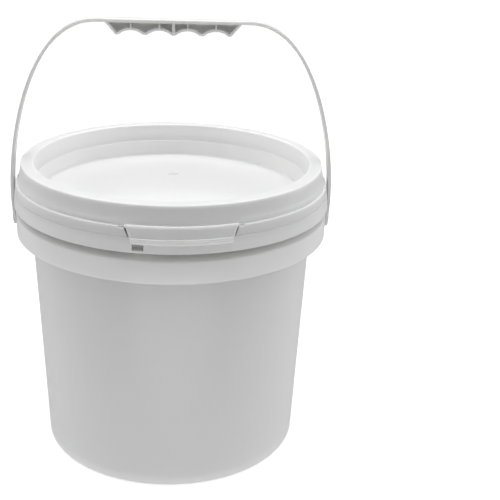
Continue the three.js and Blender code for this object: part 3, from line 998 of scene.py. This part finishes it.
def studio_floor():
    """White paper under the pail. It lights nothing itself: the white room's lower half does that."""
    deselect()
    bpy.ops.mesh.primitive_plane_add(size=PAPER_SIZE)
    floor = bpy.context.object
    floor.name = "studio_floor"
    material = bpy.data.materials.new("matt_white_paper")
    material.use_nodes = True
    tree = material.node_tree
    tree.nodes.clear()
    fibre = node(
        tree, "ShaderNodeTexNoise",
        {"Scale": 1 / FIBRE_SIZE, "Detail": 2.0},
        {"Vector": node(tree, "ShaderNodeTexCoord").outputs["Object"]},
    )
    tint = node(
        tree, "ShaderNodeMix",
        {6: linear("#f6f6f6"), 7: linear("#f9f9f9")}, {0: fibre.outputs["Fac"]}, data_type="RGBA",
    )
    shader = node(
        tree, "ShaderNodeBsdfPrincipled",
        {
            "Roughness": 0.9,
            "Specular IOR Level": 0.2,
            "Emission Color": (1, 1, 1, 1),
            "Emission Strength": PAPER_GLOW,
        },
        {"Base Color": tint.outputs[2]},
    )
    node(tree, "ShaderNodeOutputMaterial", links={"Surface": shader.outputs["BSDF"]})
    floor.data.materials.append(material)
    floor.visible_diffuse = False
    floor.visible_glossy = False
    floor.visible_shadow = False


def lobe(tree, value, begin, end, strength):
    """Light that rises smoothly from nothing to its full strength between two values."""
    return node(
        tree, "ShaderNodeMapRange",
        {"From Min": begin, "From Max": end, "To Min": 0.0, "To Max": strength},
        {"Value": value}, interpolation_type="SMOOTHSTEP",
    ).outputs["Result"]


def added(tree, one, other):
    """The sum of two sockets."""
    return node(tree, "ShaderNodeMath", links={0: one, 1: other}, operation="ADD").outputs[0]


def studio_world():
    """A room lit from behind, above, below and both sides; the camera itself sees plain white."""
    world = bpy.data.worlds.new("white_room")
    bpy.context.scene.world = world
    world.use_nodes = True
    tree = world.node_tree
    tree.nodes.clear()
    facing = node(tree, "ShaderNodeTexCoord").outputs["Generated"]
    parts = node(tree, "ShaderNodeSeparateXYZ", links={"Vector": facing})
    sideways = node(tree, "ShaderNodeMath", links={0: parts.outputs["X"]}, operation="ABSOLUTE")
    strength = lobe(tree, parts.outputs["Y"], -0.2, 0.8, ROOM_BACK)
    strength = added(tree, strength, lobe(tree, parts.outputs["Z"], 0.3, 0.9, ROOM_ABOVE))
    strength = added(tree, strength, lobe(tree, parts.outputs["Z"], 0.0, -0.6, ROOM_BELOW))
    strength = added(tree, strength, lobe(tree, sideways.outputs[0], 0.4, 0.9, ROOM_SIDES))
    room = node(tree, "ShaderNodeBackground", {"Color": (1, 1, 1, 1)}, {"Strength": strength})
    plain = node(tree, "ShaderNodeBackground", {"Color": (1, 1, 1, 1), "Strength": 1.0})
    seen = node(tree, "ShaderNodeLightPath").outputs["Is Camera Ray"]
    mix = node(tree, "ShaderNodeMixShader", links={
        0: seen, 1: room.outputs["Background"], 2: plain.outputs["Background"],
    })
    node(tree, "ShaderNodeOutputWorld", links={"Surface": mix.outputs["Shader"]})


def soft_box(name, place, target, width, height, power):
    """A large rectangular lamp at a place in metres, turned to its target."""
    light = bpy.data.lights.new(name, "AREA")
    light.shape = "RECTANGLE"
    light.size = width
    light.size_y = height
    light.energy = power
    lamp = bpy.data.objects.new(name, light)
    bpy.context.scene.collection.objects.link(lamp)
    aim = Vector(target) - Vector(place)
    lamp.matrix_world = Matrix.Translation(place) @ aim.to_track_quat("-Z", "Y").to_matrix().to_4x4()
    lamp.visible_camera = False


def studio_camera():
    camera = bpy.data.cameras.new("camera")
    camera.sensor_width = SENSOR
    camera.lens = FOCAL_PIXELS * SENSOR / FRAME_PIXELS
    camera.clip_start = 0.01
    camera.clip_end = 50.0
    viewer = bpy.data.objects.new("camera", camera)
    bpy.context.scene.collection.objects.link(viewer)
    viewer.matrix_world = (
        Matrix.Translation(Vector((0, -CAMERA_DISTANCE, CAMERA_HEIGHT)) * MM)
        @ Matrix.Rotation(-math.radians(CAMERA_YAW), 4, "Z")
        @ Matrix.Rotation(math.radians(90 - CAMERA_PITCH), 4, "X")
        @ Matrix.Rotation(math.radians(CAMERA_ROLL), 4, "Z")
    )
    bpy.context.scene.camera = viewer


studio_camera()

pail = pail_moulding()
lid = lid_moulding()
bail = bail_moulding()

for piece, finish in (
    (pail, moulded_polypropylene("pail_satin_polypropylene", "#f9f9f8", "#f6f6f5", 0.36, 0.65)),
    (lid, moulded_polypropylene("lid_satin_polypropylene", "#f9f9f8", "#f6f6f5", 0.34, 0.75)),
    (bail, moulded_polypropylene("bail_satin_polypropylene", "#ececea", "#e8e8e6", 0.38, 0.4)),
):
    piece.data.materials.clear()
    piece.data.materials.append(finish)

for piece, stands_for, body, slot in (
    (pail, "pail_body", "pail", "pail_white"),
    (lid, "lid", "pail", "lid_white"),
    (bail, "bail_handle", "bail", "bail_white"),
):
    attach(piece, body)
    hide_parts(stands_for)

studio_floor()
studio_world()
for lamp in LAMPS:
    soft_box(*lamp)
bpy.context.scene.view_settings.view_transform = "Standard"
